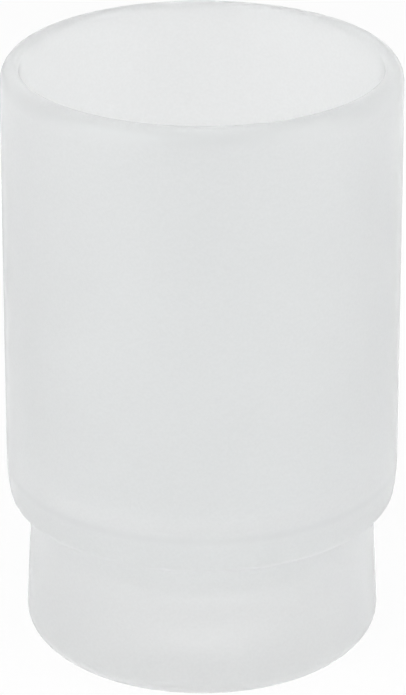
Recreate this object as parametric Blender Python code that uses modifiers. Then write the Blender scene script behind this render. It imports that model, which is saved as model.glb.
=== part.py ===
"""Frosted glass tumbler with a stepped foot, in metres, +Z up.

The tumbler is one thick piece of glass, turned about the Z axis and standing on z = 0. Its body
overhangs a narrower foot. The foot drops through a holder's ring, and the ledge under the body rests on
that ring. Inside, the cup narrows behind the ledge and ends in a round-cornered floor on a solid base.
"""
import math

import bpy

# Outside of the body, from the rim down to its lower edge.
HEIGHT = 0.1084
BODY_TOP_RADIUS = 0.0350
BODY_LOW_RADIUS = 0.03545
RIM_FALL_WIDTH = 0.0024
RIM_FALL_HEIGHT = 0.0036
DRAW_IN_HEIGHT = 0.0059
DRAW_IN_DEPTH = 0.0005
EDGE_RADIUS = 0.0010

# Ledge and foot.
LEDGE_HEIGHT = 0.0268
LEDGE_FILLET = 0.0006
FOOT_TOP_RADIUS = 0.0311
FOOT_LOW_RADIUS = 0.0323
HEEL_RADIUS = 0.0037

# Inside: the lip of the mouth, the walls and the floor.
LIP_WIDTH = 0.0010
LIP_HEIGHT = 0.0014
BODY_WALL = 0.0044
FOOT_WALL = 0.0036
SHOULDER_GLASS = 0.0018
SHOULDER_HEIGHT = 0.0088
FLOOR_THICKNESS = 0.0140
FLOOR_CORNER_RADIUS = 0.0100

# How finely the glass is turned: steps round the axis, points on each round stretch, and how near the
# ends of the turning lie when they are merged.
TURN_STEPS = 64
FINE_POINTS = 8
COARSE_POINTS = 5
MERGE_DISTANCE = 0.00001

GLASS_COLOUR = (0.74, 0.76, 0.76, 1.0)
GLASS_ROUGHNESS = 0.55
GLASS_IOR = 1.5


def arc(centre, radii, start_degrees, end_degrees, points):
    """Points along part of an ellipse with the given centre and radii, both ends included."""
    turn = [start_degrees + (end_degrees - start_degrees) * i / (points - 1) for i in range(points)]
    return [(centre[0] + radii[0] * math.cos(math.radians(angle)),
             centre[1] + radii[1] * math.sin(math.radians(angle))) for angle in turn]


def eased(start, end, points):
    """Points from start to end along an S that leaves and arrives straight up."""
    shares = [i / (points - 1) for i in range(points)]
    return [(start[0] + (end[0] - start[0]) * (1 - math.cos(math.pi * share)) / 2,
             start[1] + (end[1] - start[1]) * share) for share in shares]


def drawn_in(top, depth, height, points):
    """Points down from top, bending inward ever faster until they lie depth further in."""
    shares = [i / (points - 1) for i in range(points)]
    return [(top[0] - depth * share ** 2, top[1] - height * share) for share in shares]


def inside_profile():
    """The cup's inside, from the middle of the floor out and up to the crest of the rim."""
    cup_radius = BODY_LOW_RADIUS - BODY_WALL
    chamber_radius = FOOT_TOP_RADIUS - FOOT_WALL
    crest_radius = BODY_TOP_RADIUS - RIM_FALL_WIDTH
    shoulder_foot = LEDGE_HEIGHT + SHOULDER_GLASS
    shoulder_top = shoulder_foot + SHOULDER_HEIGHT
    floor_corner = arc((chamber_radius - FLOOR_CORNER_RADIUS, FLOOR_THICKNESS + FLOOR_CORNER_RADIUS),
                       (FLOOR_CORNER_RADIUS, FLOOR_CORNER_RADIUS), -90, 0, FINE_POINTS)
    shoulder = eased((chamber_radius, shoulder_foot), (cup_radius, shoulder_top), FINE_POINTS)
    lip = arc((crest_radius, HEIGHT - LIP_HEIGHT), (LIP_WIDTH, LIP_HEIGHT), 180, 90, COARSE_POINTS)
    return [(0, FLOOR_THICKNESS)] + floor_corner + shoulder + lip


def outside_profile():
    """The outside, from just past the crest of the rim down and in to the middle of the base."""
    crest_radius = BODY_TOP_RADIUS - RIM_FALL_WIDTH
    edge_centre = (BODY_LOW_RADIUS - DRAW_IN_DEPTH - EDGE_RADIUS, LEDGE_HEIGHT + EDGE_RADIUS)
    band_top = (BODY_LOW_RADIUS, edge_centre[1] + DRAW_IN_HEIGHT)
    rim_fall = arc((crest_radius, HEIGHT - RIM_FALL_HEIGHT), (RIM_FALL_WIDTH, RIM_FALL_HEIGHT),
                   90, 0, FINE_POINTS)
    band = drawn_in(band_top, DRAW_IN_DEPTH, DRAW_IN_HEIGHT, COARSE_POINTS)
    edge = arc(edge_centre, (EDGE_RADIUS, EDGE_RADIUS), 0, -90, COARSE_POINTS)
    fillet = arc((FOOT_TOP_RADIUS + LEDGE_FILLET, LEDGE_HEIGHT - LEDGE_FILLET),
                 (LEDGE_FILLET, LEDGE_FILLET), 90, 180, COARSE_POINTS)
    heel = arc((FOOT_LOW_RADIUS - HEEL_RADIUS, HEEL_RADIUS), (HEEL_RADIUS, HEEL_RADIUS),
               0, -90, FINE_POINTS)
    return rim_fall[1:] + band + edge[1:] + fillet + heel + [(0, 0)]


def glass_material():
    """Satin-etched clear glass: pale, faintly cool and without a sharp highlight."""
    material = bpy.data.materials.new("frosted_glass")
    material.use_nodes = True
    shader = material.node_tree.nodes["Principled BSDF"]
    shader.inputs["Base Color"].default_value = GLASS_COLOUR
    shader.inputs["Roughness"].default_value = GLASS_ROUGHNESS
    shader.inputs["Metallic"].default_value = 0
    shader.inputs["IOR"].default_value = GLASS_IOR
    material.diffuse_color = GLASS_COLOUR
    return material


def turned_tumbler(collection):
    """The whole tumbler: its profile in the XZ plane, turned once about the Z axis."""
    points = inside_profile() + outside_profile()
    mesh = bpy.data.meshes.new("tumbler")
    mesh.from_pydata([(radius, 0, height) for radius, height in points],
                     [(i, i + 1) for i in range(len(points) - 1)], [])
    mesh.materials.append(glass_material())
    tumbler = bpy.data.objects.new("tumbler", mesh)
    collection.objects.link(tumbler)

    turning = tumbler.modifiers.new("Turning", 'SCREW')
    turning.axis = 'Z'
    turning.angle = 2 * math.pi
    turning.steps = TURN_STEPS
    turning.render_steps = TURN_STEPS
    turning.use_merge_vertices = True
    turning.merge_threshold = MERGE_DISTANCE
    turning.use_smooth_shade = True
    return tumbler


for old_object in list(bpy.data.objects):
    bpy.data.objects.remove(old_object)
glass_tumbler = bpy.data.collections.new("glass_tumbler")
bpy.context.scene.collection.children.link(glass_tumbler)
turned_tumbler(glass_tumbler)
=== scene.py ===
"""The looks of the frosted glass tumbler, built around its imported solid, in metres, +Z up."""
import math

import bmesh
import bpy
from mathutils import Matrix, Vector


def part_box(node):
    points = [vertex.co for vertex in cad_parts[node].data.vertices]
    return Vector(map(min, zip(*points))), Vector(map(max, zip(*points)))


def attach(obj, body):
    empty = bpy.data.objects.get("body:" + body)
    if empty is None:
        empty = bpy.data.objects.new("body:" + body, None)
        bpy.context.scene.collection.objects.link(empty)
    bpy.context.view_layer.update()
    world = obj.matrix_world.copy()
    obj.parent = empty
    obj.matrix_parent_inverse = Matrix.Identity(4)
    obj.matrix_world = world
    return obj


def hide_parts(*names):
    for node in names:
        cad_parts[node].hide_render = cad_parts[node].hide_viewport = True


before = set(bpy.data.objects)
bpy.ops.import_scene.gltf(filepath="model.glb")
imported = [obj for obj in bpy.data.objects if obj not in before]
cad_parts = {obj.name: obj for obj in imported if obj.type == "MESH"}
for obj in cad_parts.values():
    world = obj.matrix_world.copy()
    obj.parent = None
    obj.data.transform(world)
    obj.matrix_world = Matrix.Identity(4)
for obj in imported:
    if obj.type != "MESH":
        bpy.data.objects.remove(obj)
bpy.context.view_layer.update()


# The tumbler: one casting of thick clear glass, pressed in a mould and fire-polished at the mouth, then
# etched in acid all over, inside and out, which gives it its satin skin. The body overhangs the foot by
# a flat ledge, which sits on the ring of a holder.
glass_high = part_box("tumbler")[1]
height = glass_high.z
body_low_radius = glass_high.x
body_top_radius = 0.0350
rim_fall_width = 0.0024
rim_fall_height = 0.0036
draw_in_height = 0.0059
draw_in_depth = 0.0005
draw_in_foot = 0.0278
ledge_height = 0.0268
ledge_fillet = 0.0006
foot_top_radius = 0.0311
foot_low_radius = 0.0323
heel_radius = 0.0037

lip_width = 0.0010
lip_height = 0.0014
crest_radius = body_top_radius - rim_fall_width
body_wall = 0.0044
foot_wall = 0.0036
shoulder_glass = 0.0018
cup_radius = body_low_radius - body_wall
chamber_radius = foot_top_radius - foot_wall
shoulder_foot = ledge_height + shoulder_glass
shoulder_height = 0.0088
floor_thickness = 0.0140
floor_corner_radius = 0.0100

quarter_turn = math.pi / 2
arc_steps = 16
turning_steps = 256
longest_run = 0.0025
closing_distance = 0.000001


def run_to(tip, radius, level):
    """Draws the profile straight on from its tip, in short stretches, and returns the new tip."""
    start = tip.co.copy()
    end = Vector((radius, 0, level))
    stretches = max(1, round((end - start).length / longest_run))
    for stretch in range(1, stretches + 1):
        tip = bmesh.ops.extrude_vert_indiv(glass, verts=[tip])["verts"][0]
        tip.co = start.lerp(end, stretch / stretches)
    return tip


def swing(tip, radius, level, turn, drawn_up=1):
    """Swings the profile's tip about a centre, and returns the new tip. drawn_up makes the arc taller."""
    before = set(glass.verts) - {tip}
    tip.co.z = level + (tip.co.z - level) / drawn_up
    swung = bmesh.ops.spin(glass, geom=[tip], cent=(radius, 0, level), axis=(0, 1, 0), angle=turn,
                           steps=arc_steps, use_merge=False)
    for point in set(glass.verts) - before:
        point.co.z = level + (point.co.z - level) * drawn_up
    return next(part for part in swung["geom_last"] if isinstance(part, bmesh.types.BMVert))


glass = bmesh.new()
tip = glass.verts.new((0, 0, floor_thickness))
tip = run_to(tip, chamber_radius - floor_corner_radius, floor_thickness)
tip = swing(tip, chamber_radius - floor_corner_radius, floor_thickness + floor_corner_radius, -quarter_turn)
tip = run_to(tip, chamber_radius, shoulder_foot)

shoulder_turn = 2 * math.atan((cup_radius - chamber_radius) / shoulder_height)
shoulder_radius = shoulder_height / 2 / math.sin(shoulder_turn)
tip = swing(tip, chamber_radius + shoulder_radius, shoulder_foot, shoulder_turn)
tip = swing(tip, cup_radius - shoulder_radius, shoulder_foot + shoulder_height, -shoulder_turn)

tip = run_to(tip, crest_radius - lip_width, height - lip_height)
tip = swing(tip, crest_radius, height - lip_height, quarter_turn, lip_height / lip_width)
tip = swing(tip, crest_radius, height - rim_fall_height, quarter_turn, rim_fall_height / rim_fall_width)

draw_in_turn = 2 * math.atan(draw_in_depth / draw_in_height)
draw_in_radius = draw_in_height / math.sin(draw_in_turn)
tip = run_to(tip, body_low_radius, draw_in_foot + draw_in_height)
tip = swing(tip, body_low_radius - draw_in_radius, draw_in_foot + draw_in_height, draw_in_turn)
edge_radius = (draw_in_foot - ledge_height) / (1 - math.sin(draw_in_turn))
edge_centre = tip.co.x - edge_radius * math.cos(draw_in_turn)
tip = swing(tip, edge_centre, ledge_height + edge_radius, quarter_turn - draw_in_turn)

tip = run_to(tip, foot_top_radius + ledge_fillet, ledge_height)
tip = swing(tip, foot_top_radius + ledge_fillet, ledge_height - ledge_fillet, -quarter_turn)
tip = run_to(tip, foot_low_radius, heel_radius)
tip = swing(tip, foot_low_radius - heel_radius, heel_radius, quarter_turn)
tip = run_to(tip, 0, 0)

bmesh.ops.spin(glass, geom=glass.verts[:] + glass.edges[:], cent=(0, 0, 0), axis=(0, 0, 1),
               angle=2 * math.pi, steps=turning_steps, use_merge=True)
bmesh.ops.remove_doubles(glass, verts=glass.verts, dist=closing_distance)
bmesh.ops.recalc_face_normals(glass, faces=glass.faces)
for point in glass.verts:
    point.co.z = min(point.co.z, height)
for face in glass.faces:
    face.smooth = True


# The tumbler's skin: an even satin etch in the glass itself, with a fine grain. It is whiter on the lower
# edge, and painted shade darkens its colour in lines along the bend above it and round the rim. Use has
# rubbed the heel smoother.
class Output:
    """An output of a shader node. A sum written on it adds the Math node that works it out."""

    def __init__(self, socket):
        self.socket = socket

    @classmethod
    def of(cls, tree, kind, output, settings, inputs):
        """Adds a node, gives it its settings and then its sockets' values or links."""
        node = tree.nodes.new(kind)
        for name, value in settings.items():
            setattr(node, name, value)
        for name, value in inputs.items():
            if isinstance(value, cls):
                tree.links.new(value.socket, node.inputs[name])
            else:
                node.inputs[name].default_value = value
        return cls(node.outputs[output])

    def sum(self, operation, first, second):
        settings = {"operation": operation}
        return self.of(self.socket.id_data, "ShaderNodeMath", "Value", settings, {0: first, 1: second})

    def __add__(self, other):
        return self.sum("ADD", self, other)

    def __sub__(self, other):
        return self.sum("SUBTRACT", self, other)

    def __rsub__(self, other):
        return self.sum("SUBTRACT", other, self)

    def __mul__(self, other):
        return self.sum("MULTIPLY", self, other)

    __radd__ = __add__
    __rmul__ = __mul__


etched_tint = (0.990, 0.999, 1, 1)
etched_deep_tint = (0.930, 0.942, 0.943, 1)
# Painted shade: the darker colour of the lines along the bend and round the rim.
painted_shade_tint = (0.893, 0.906, 0.908, 1)
scattered_tint = (0.985, 0.99, 0.992, 1)
glass_ior = 1.5
noise_middle = 0.5
etched_roughness = 0.435
etch_unevenness = 0.06
cloud_scale = 70
cloud_detail = 3
grain_scale = 1900
grain_detail = 4
grain_contrast = 3.8
grain_height = 0.00001
frosting = 0.15
edge_frosting = 0.8
edge_line_level = 0.0271
edge_line_reach = 0.0010
bend_shade_level = 0.0333
bend_shade_reach = 0.0012
rim_shade_level = 0.1066
rim_shade_reach = 0.0020
outer_skin_radius = 0.0340
heel_wear = 0.06
heel_wear_height = 0.0012

frosted_glass = bpy.data.materials.new("frosted_glass")
frosted_glass.use_nodes = True
tree = frosted_glass.node_tree
tree.nodes.clear()
place = Output.of(tree, "ShaderNodeTexCoord", "Object", {}, {})
level = Output.of(tree, "ShaderNodeSeparateXYZ", "Z", {}, {"Vector": place})
out_from_axis = Output.of(tree, "ShaderNodeVectorMath", "Vector", {"operation": "MULTIPLY"}, {
    0: place, 1: (1, 1, 0)})
radius = Output.of(tree, "ShaderNodeVectorMath", "Value", {"operation": "LENGTH"}, {0: out_from_axis})
cloud = Output.of(tree, "ShaderNodeTexNoise", "Fac", {}, {
    "Vector": place, "Scale": cloud_scale, "Detail": cloud_detail})
grain = Output.of(tree, "ShaderNodeTexNoise", "Fac", {}, {
    "Vector": place, "Scale": grain_scale, "Detail": grain_detail})


def faded(measure, none_at, full_at):
    """Gives 0 where the measure is none_at and 1 where it is full_at, with a smooth change between."""
    return Output.of(tree, "ShaderNodeMapRange", "Result", {"interpolation_type": "SMOOTHSTEP"}, {
        "Value": measure, "From Min": none_at, "From Max": full_at})


def line_round(line_level, reach):
    """Gives 1 on the level of a line round the outside, fading to 0 at its reach above and below."""
    away = Output.of(tree, "ShaderNodeMath", "Value", {"operation": "ABSOLUTE"}, {0: level - line_level})
    return faded(away, reach, 0) * on_outside


on_outside = faded(radius, cup_radius, outer_skin_radius)
on_heel = faded(level, heel_wear_height, 0)
edge_line = line_round(edge_line_level, edge_line_reach)
# Painted shade: darker lines of colour where the body bends in above the lower edge, and round the rim.
painted_shade_lines = line_round(bend_shade_level, bend_shade_reach) + line_round(rim_shade_level, rim_shade_reach)
grained_tint = Output.of(tree, "ShaderNodeMix", 2, {"data_type": "RGBA"}, {
    0: noise_middle + grain_contrast * (grain - noise_middle), 6: etched_tint, 7: etched_deep_tint})
tint = Output.of(tree, "ShaderNodeMix", 2, {"data_type": "RGBA"}, {
    0: painted_shade_lines, 6: grained_tint, 7: painted_shade_tint})
skin = Output.of(tree, "ShaderNodeBump", "Normal", {}, {
    "Height": grain, "Distance": grain_height, "Strength": 1})
etched = Output.of(tree, "ShaderNodeBsdfPrincipled", "BSDF", {}, {
    "Base Color": tint,
    "Roughness": etched_roughness + etch_unevenness * (cloud - noise_middle) - heel_wear * on_heel,
    "IOR": glass_ior,
    "Transmission Weight": 1,
    "Normal": skin,
})
scattering = Output.of(tree, "ShaderNodeBsdfTranslucent", "BSDF", {}, {
    "Color": scattered_tint, "Normal": skin})
satin = Output.of(tree, "ShaderNodeMixShader", "Shader", {}, {
    0: frosting + edge_frosting * edge_line, 1: etched, 2: scattering})
tree.links.new(satin.socket, tree.nodes.new("ShaderNodeOutputMaterial").inputs["Surface"])

tumbler_mesh = bpy.data.meshes.new("frosted_tumbler")
glass.to_mesh(tumbler_mesh)
glass.free()
tumbler_mesh.materials.append(frosted_glass)
tumbler = bpy.data.objects.new("frosted_tumbler", tumbler_mesh)
bpy.context.scene.collection.objects.link(tumbler)
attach(tumbler, "root")
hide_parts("tumbler")


# The studio floor: a seamless white sheet that glows faintly, as a light table does. It glows less strongly
# in the glass than to the camera, so the shade under the foot shows through the foot.
def background_rays(tree):
    """Gives the camera's rays, and all the rays that see the background: the camera's and the glass's."""
    camera_ray = Output.of(tree, "ShaderNodeLightPath", "Is Camera Ray", {}, {})
    glossy_ray = Output(camera_ray.socket.node.outputs["Is Glossy Ray"])
    clear_ray = Output(camera_ray.socket.node.outputs["Is Transmission Ray"])
    return camera_ray, 1 - (1 - camera_ray) * (1 - glossy_ray) * (1 - clear_ray)


floor_reach = 6
floor_white = (0.9, 0.9, 0.9, 1)
glow_white = (1, 1, 1, 1)
background_strength = 1
floor_glow_to_camera = 0.94
floor_glow_in_glass = 0.72

floor_mesh = bpy.data.meshes.new("studio_floor")
sheet = bmesh.new()
bmesh.ops.create_grid(sheet, x_segments=1, y_segments=1, size=floor_reach)
sheet.to_mesh(floor_mesh)
sheet.free()
studio_floor = bpy.data.objects.new("studio_floor", floor_mesh)
bpy.context.scene.collection.objects.link(studio_floor)

floor_paint = bpy.data.materials.new("floor_paint")
floor_paint.use_nodes = True
floor_paint.cycles.emission_sampling = 'NONE'
tree = floor_paint.node_tree
tree.nodes.clear()
camera_ray, seen = background_rays(tree)
paint = Output.of(tree, "ShaderNodeBsdfDiffuse", "BSDF", {}, {"Color": floor_white})
glow = Output.of(tree, "ShaderNodeEmission", "Emission", {}, {
    "Color": glow_white, "Strength": background_strength})
glow_share = floor_glow_in_glass * seen + (floor_glow_to_camera - floor_glow_in_glass) * camera_ray
lit = Output.of(tree, "ShaderNodeMixShader", "Shader", {}, {0: glow_share, 1: paint, 2: glow})
tree.links.new(lit.socket, tree.nodes.new("ShaderNodeOutputMaterial").inputs["Surface"])
floor_mesh.materials.append(floor_paint)


# The surround: pale walls. What the camera and the glass see of them is set apart from the light that they
# give, so the glass stays grey before a white background.
surround_in_glass = 0.69
surround_light = 0.15

surround = bpy.data.worlds.new("surround")
surround.use_nodes = True
surround.cycles.sampling_method = 'NONE'
tree = surround.node_tree
tree.nodes.clear()
camera_ray, seen = background_rays(tree)
in_glass_or_light = surround_light + (surround_in_glass - surround_light) * seen
whitened = in_glass_or_light + (background_strength - surround_in_glass) * camera_ray
backdrop = Output.of(tree, "ShaderNodeBackground", "Background", {}, {
    "Color": glow_white, "Strength": whitened})
tree.links.new(backdrop.socket, tree.nodes.new("ShaderNodeOutputWorld").inputs["Surface"])
bpy.context.scene.world = surround


# The lamps: three large softboxes at one distance, one nearly overhead and one on each side of the camera.
lamp_size = 1.0
lamp_distance = 1.2


def soft_lamp(name, bearing, rise, power):
    """A large square lamp that points at the tumbler. Bearing is in degrees to the right of the camera."""
    lamp = bpy.data.lights.new(name, 'AREA')
    lamp.size = lamp_size
    lamp.energy = power
    hung = bpy.data.objects.new(name, lamp)
    turn = math.radians(bearing)
    tilt = math.radians(rise)
    aim = Vector((0, 0, height / 2))
    reach = Vector((math.sin(turn) * math.cos(tilt), -math.cos(turn) * math.cos(tilt), math.sin(tilt)))
    hung.location = aim + lamp_distance * reach
    hung.rotation_euler = reach.to_track_quat('Z', 'Y').to_euler()
    bpy.context.scene.collection.objects.link(hung)


soft_lamp("overhead_lamp", bearing=0, rise=88, power=6.1)
soft_lamp("key_lamp", bearing=-53, rise=20, power=10.5)
soft_lamp("fill_lamp", bearing=62, rise=19, power=8.2)


# The camera: a long lens in front of the tumbler, above it and looking down into its mouth.
lens_mm = 171.2
sensor_mm = 36
viewpoint = (0.00018, -0.54024, 0.29722)
look_down = 0.42287

camera = bpy.data.cameras.new("camera")
camera.lens = lens_mm
camera.sensor_width = sensor_mm
viewer = bpy.data.objects.new("camera", camera)
viewer.location = viewpoint
viewer.rotation_euler = (quarter_turn - look_down, 0, 0)
bpy.context.scene.collection.objects.link(viewer)
bpy.context.scene.camera = viewer
bpy.context.scene.view_settings.view_transform = 'Standard'
